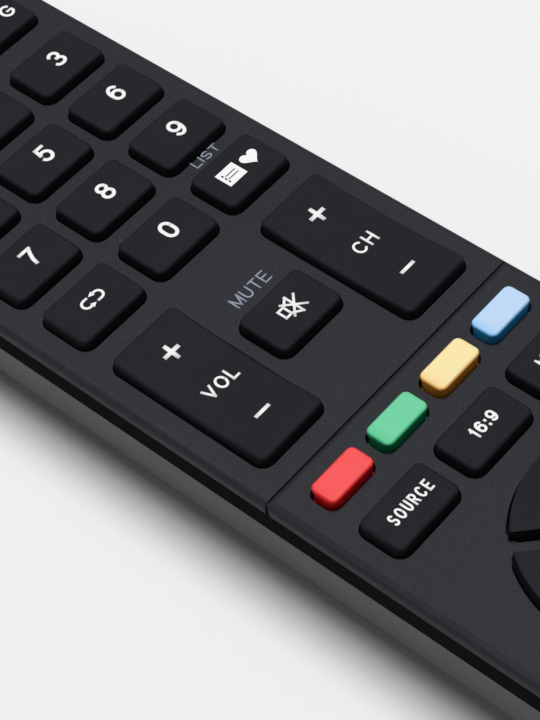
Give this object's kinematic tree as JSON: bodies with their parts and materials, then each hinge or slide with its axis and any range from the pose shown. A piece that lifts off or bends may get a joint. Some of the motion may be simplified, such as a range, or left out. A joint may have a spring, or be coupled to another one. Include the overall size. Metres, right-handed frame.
{
  "type": "universal remote control",
  "caption": "Slim hand-held infrared remote with a charcoal key panel, raised rubber keys, two long rocker keys, a ring pad, a grey back and a sliding battery cover.",
  "frame": {"origin": "middle of the flat back that the remote lies on", "axes": "+X to the user's right, +Y to the infrared end, +Z out of the keys"},
  "size_m": [0.0486, 0.2132, 0.0211],
  "materials": {
    "charcoal_plate": "fine matt paint with a slight blue cast",
    "black_frame": "moulded black, dull",
    "grey_belly": "moulded grey, satin",
    "window_plastic": "dark infrared-clear plastic, polished",
    "key_rubber_black": "matt black silicone with white printed legends",
    "key_rubber_power": "red silicone",
    "key_rubber_red": "red silicone, smooth",
    "key_rubber_green": "green silicone, smooth",
    "key_rubber_yellow": "orange-yellow silicone, smooth",
    "key_rubber_blue": "blue silicone, smooth",
    "mat_rubber": "grey silicone sheet",
    "board_laminate": "green solder mask",
    "zinc_steel": "zinc-plated",
    "clear_epoxy": "water-clear epoxy",
    "red_epoxy": "red diffused epoxy",
    "chip_epoxy": "black moulding compound, tinned pins",
    "resonator_coating": "dipped ochre coating",
    "capacitor_can": "bare aluminium can",
    "cell_jacket": "plain printed jacket over a steel can",
    "nickel_plate": "nickel-plated spring steel"
  },
  "bodies": {
    "housing": {"faceplate": "charcoal_plate", "front_frame": "black_frame", "rear_housing": "grey_belly", "ir_window": "window_plastic", "circuit_board": "board_laminate", "keypad_mat": "mat_rubber", "board_screws": "zinc_steel", "ir_led": "clear_epoxy", "status_led": "red_epoxy", "controller_chip": "chip_epoxy", "resonator": "resonator_coating", "capacitor": "capacitor_can", "battery_cell_a": "cell_jacket", "battery_cell_b": "cell_jacket", "positive_contact": "nickel_plate", "negative_contact": "nickel_plate", "bridge_contact": "nickel_plate", "battery_springs": "nickel_plate"},
    "cover": {"battery_cover": "grey_belly"},
    "key_0_cap": {"key_0": "key_rubber_black"},
    "key_1_cap": {"key_1": "key_rubber_black"},
    "key_2_cap": {"key_2": "key_rubber_black"},
    "key_3_cap": {"key_3": "key_rubber_black"},
    "key_4_cap": {"key_4": "key_rubber_black"},
    "key_5_cap": {"key_5": "key_rubber_black"},
    "key_6_cap": {"key_6": "key_rubber_black"},
    "key_7_cap": {"key_7": "key_rubber_black"},
    "key_8_cap": {"key_8": "key_rubber_black"},
    "key_9_cap": {"key_9": "key_rubber_black"},
    "key_recall_cap": {"key_recall": "key_rubber_black"},
    "key_favourites_cap": {"key_favourites": "key_rubber_black"},
    "key_text_cap": {"key_text": "key_rubber_black"},
    "key_subtitle_cap": {"key_subtitle": "key_rubber_black"},
    "key_guide_cap": {"key_guide": "key_rubber_black"},
    "key_mute_cap": {"key_mute": "key_rubber_black"},
    "key_source_cap": {"key_source": "key_rubber_black"},
    "key_aspect_cap": {"key_aspect": "key_rubber_black"},
    "key_menu_cap": {"key_menu": "key_rubber_black"},
    "key_ok_cap": {"key_ok": "key_rubber_black"},
    "key_back_cap": {"key_back": "key_rubber_black"},
    "key_info_cap": {"key_info": "key_rubber_black"},
    "key_exit_cap": {"key_exit": "key_rubber_black"},
    "key_rewind_cap": {"key_rewind": "key_rubber_black"},
    "key_play_cap": {"key_play": "key_rubber_black"},
    "key_forward_cap": {"key_forward": "key_rubber_black"},
    "key_record_cap": {"key_record": "key_rubber_black"},
    "key_stop_cap": {"key_stop": "key_rubber_black"},
    "key_pause_cap": {"key_pause": "key_rubber_black"},
    "nav_up_cap": {"nav_up": "key_rubber_black"},
    "nav_left_cap": {"nav_left": "key_rubber_black"},
    "nav_down_cap": {"nav_down": "key_rubber_black"},
    "nav_right_cap": {"nav_right": "key_rubber_black"},
    "key_power_cap": {"key_power": "key_rubber_power"},
    "key_red_cap": {"key_red": "key_rubber_red"},
    "key_green_cap": {"key_green": "key_rubber_green"},
    "key_yellow_cap": {"key_yellow": "key_rubber_yellow"},
    "key_blue_cap": {"key_blue": "key_rubber_blue"},
    "rocker_volume_cap": {"rocker_volume": "key_rubber_black"},
    "rocker_channel_cap": {"rocker_channel": "key_rubber_black"}
  },
  "joints": [
    {"name": "cover_slide", "type": "slide", "parent": "housing", "child": "cover", "axis": [0, -1, 0], "range_m": [0, 0.068]},
    {"name": "key_0_press", "type": "slide", "parent": "housing", "child": "key_0_cap", "axis": [0, 0, -1], "range_m": [0, 0.0009], "stiffness_N_per_m": 900},
    {"name": "key_1_press", "type": "slide", "parent": "housing", "child": "key_1_cap", "axis": [0, 0, -1], "range_m": [0, 0.0009], "stiffness_N_per_m": 900},
    {"name": "key_2_press", "type": "slide", "parent": "housing", "child": "key_2_cap", "axis": [0, 0, -1], "range_m": [0, 0.0009], "stiffness_N_per_m": 900},
    {"name": "key_3_press", "type": "slide", "parent": "housing", "child": "key_3_cap", "axis": [0, 0, -1], "range_m": [0, 0.0009], "stiffness_N_per_m": 900},
    {"name": "key_4_press", "type": "slide", "parent": "housing", "child": "key_4_cap", "axis": [0, 0, -1], "range_m": [0, 0.0009], "stiffness_N_per_m": 900},
    {"name": "key_5_press", "type": "slide", "parent": "housing", "child": "key_5_cap", "axis": [0, 0, -1], "range_m": [0, 0.0009], "stiffness_N_per_m": 900},
    {"name": "key_6_press", "type": "slide", "parent": "housing", "child": "key_6_cap", "axis": [0, 0, -1], "range_m": [0, 0.0009], "stiffness_N_per_m": 900},
    {"name": "key_7_press", "type": "slide", "parent": "housing", "child": "key_7_cap", "axis": [0, 0, -1], "range_m": [0, 0.0009], "stiffness_N_per_m": 900},
    {"name": "key_8_press", "type": "slide", "parent": "housing", "child": "key_8_cap", "axis": [0, 0, -1], "range_m": [0, 0.0009], "stiffness_N_per_m": 900},
    {"name": "key_9_press", "type": "slide", "parent": "housing", "child": "key_9_cap", "axis": [0, 0, -1], "range_m": [0, 0.0009], "stiffness_N_per_m": 900},
    {"name": "key_recall_press", "type": "slide", "parent": "housing", "child": "key_recall_cap", "axis": [0, 0, -1], "range_m": [0, 0.0009], "stiffness_N_per_m": 900},
    {"name": "key_favourites_press", "type": "slide", "parent": "housing", "child": "key_favourites_cap", "axis": [0, 0, -1], "range_m": [0, 0.0009], "stiffness_N_per_m": 900},
    {"name": "key_text_press", "type": "slide", "parent": "housing", "child": "key_text_cap", "axis": [0, 0, -1], "range_m": [0, 0.0009], "stiffness_N_per_m": 900},
    {"name": "key_subtitle_press", "type": "slide", "parent": "housing", "child": "key_subtitle_cap", "axis": [0, 0, -1], "range_m": [0, 0.0009], "stiffness_N_per_m": 900},
    {"name": "key_guide_press", "type": "slide", "parent": "housing", "child": "key_guide_cap", "axis": [0, 0, -1], "range_m": [0, 0.0009], "stiffness_N_per_m": 900},
    {"name": "key_mute_press", "type": "slide", "parent": "housing", "child": "key_mute_cap", "axis": [0, 0, -1], "range_m": [0, 0.0009], "stiffness_N_per_m": 900},
    {"name": "key_source_press", "type": "slide", "parent": "housing", "child": "key_source_cap", "axis": [0, 0, -1], "range_m": [0, 0.0009], "stiffness_N_per_m": 900},
    {"name": "key_aspect_press", "type": "slide", "parent": "housing", "child": "key_aspect_cap", "axis": [0, 0, -1], "range_m": [0, 0.0009], "stiffness_N_per_m": 900},
    {"name": "key_menu_press", "type": "slide", "parent": "housing", "child": "key_menu_cap", "axis": [0, 0, -1], "range_m": [0, 0.0009], "stiffness_N_per_m": 900},
    {"name": "key_ok_press", "type": "slide", "parent": "housing", "child": "key_ok_cap", "axis": [0, 0, -1], "range_m": [0, 0.0009], "stiffness_N_per_m": 900},
    {"name": "key_back_press", "type": "slide", "parent": "housing", "child": "key_back_cap", "axis": [0, 0, -1], "range_m": [0, 0.0009], "stiffness_N_per_m": 900},
    {"name": "key_info_press", "type": "slide", "parent": "housing", "child": "key_info_cap", "axis": [0, 0, -1], "range_m": [0, 0.0009], "stiffness_N_per_m": 900},
    {"name": "key_exit_press", "type": "slide", "parent": "housing", "child": "key_exit_cap", "axis": [0, 0, -1], "range_m": [0, 0.0009], "stiffness_N_per_m": 900},
    {"name": "key_rewind_press", "type": "slide", "parent": "housing", "child": "key_rewind_cap", "axis": [0, 0, -1], "range_m": [0, 0.0009], "stiffness_N_per_m": 900},
    {"name": "key_play_press", "type": "slide", "parent": "housing", "child": "key_play_cap", "axis": [0, 0, -1], "range_m": [0, 0.0009], "stiffness_N_per_m": 900},
    {"name": "key_forward_press", "type": "slide", "parent": "housing", "child": "key_forward_cap", "axis": [0, 0, -1], "range_m": [0, 0.0009], "stiffness_N_per_m": 900},
    {"name": "key_record_press", "type": "slide", "parent": "housing", "child": "key_record_cap", "axis": [0, 0, -1], "range_m": [0, 0.0009], "stiffness_N_per_m": 900},
    {"name": "key_stop_press", "type": "slide", "parent": "housing", "child": "key_stop_cap", "axis": [0, 0, -1], "range_m": [0, 0.0009], "stiffness_N_per_m": 900},
    {"name": "key_pause_press", "type": "slide", "parent": "housing", "child": "key_pause_cap", "axis": [0, 0, -1], "range_m": [0, 0.0009], "stiffness_N_per_m": 900},
    {"name": "nav_up_press", "type": "slide", "parent": "housing", "child": "nav_up_cap", "axis": [0, 0, -1], "range_m": [0, 0.0009], "stiffness_N_per_m": 900},
    {"name": "nav_left_press", "type": "slide", "parent": "housing", "child": "nav_left_cap", "axis": [0, 0, -1], "range_m": [0, 0.0009], "stiffness_N_per_m": 900},
    {"name": "nav_down_press", "type": "slide", "parent": "housing", "child": "nav_down_cap", "axis": [0, 0, -1], "range_m": [0, 0.0009], "stiffness_N_per_m": 900},
    {"name": "nav_right_press", "type": "slide", "parent": "housing", "child": "nav_right_cap", "axis": [0, 0, -1], "range_m": [0, 0.0009], "stiffness_N_per_m": 900},
    {"name": "key_power_press", "type": "slide", "parent": "housing", "child": "key_power_cap", "axis": [0, 0, -1], "range_m": [0, 0.0009], "stiffness_N_per_m": 900},
    {"name": "key_red_press", "type": "slide", "parent": "housing", "child": "key_red_cap", "axis": [0, 0, -1], "range_m": [0, 0.0009], "stiffness_N_per_m": 900},
    {"name": "key_green_press", "type": "slide", "parent": "housing", "child": "key_green_cap", "axis": [0, 0, -1], "range_m": [0, 0.0009], "stiffness_N_per_m": 900},
    {"name": "key_yellow_press", "type": "slide", "parent": "housing", "child": "key_yellow_cap", "axis": [0, 0, -1], "range_m": [0, 0.0009], "stiffness_N_per_m": 900},
    {"name": "key_blue_press", "type": "slide", "parent": "housing", "child": "key_blue_cap", "axis": [0, 0, -1], "range_m": [0, 0.0009], "stiffness_N_per_m": 900},
    {"name": "rocker_volume_rock", "type": "hinge", "parent": "housing", "child": "rocker_volume_cap", "pos_m": [-0.0145, 0.00847, 0.01845], "axis": [1, 0, 0], "range_deg": [-3, 3], "stiffness_Nm_per_rad": 0.25},
    {"name": "rocker_channel_rock", "type": "hinge", "parent": "housing", "child": "rocker_channel_cap", "pos_m": [0.0145, 0.00847, 0.01845], "axis": [1, 0, 0], "range_deg": [-3, 3], "stiffness_Nm_per_rad": 0.25}
  ]
}
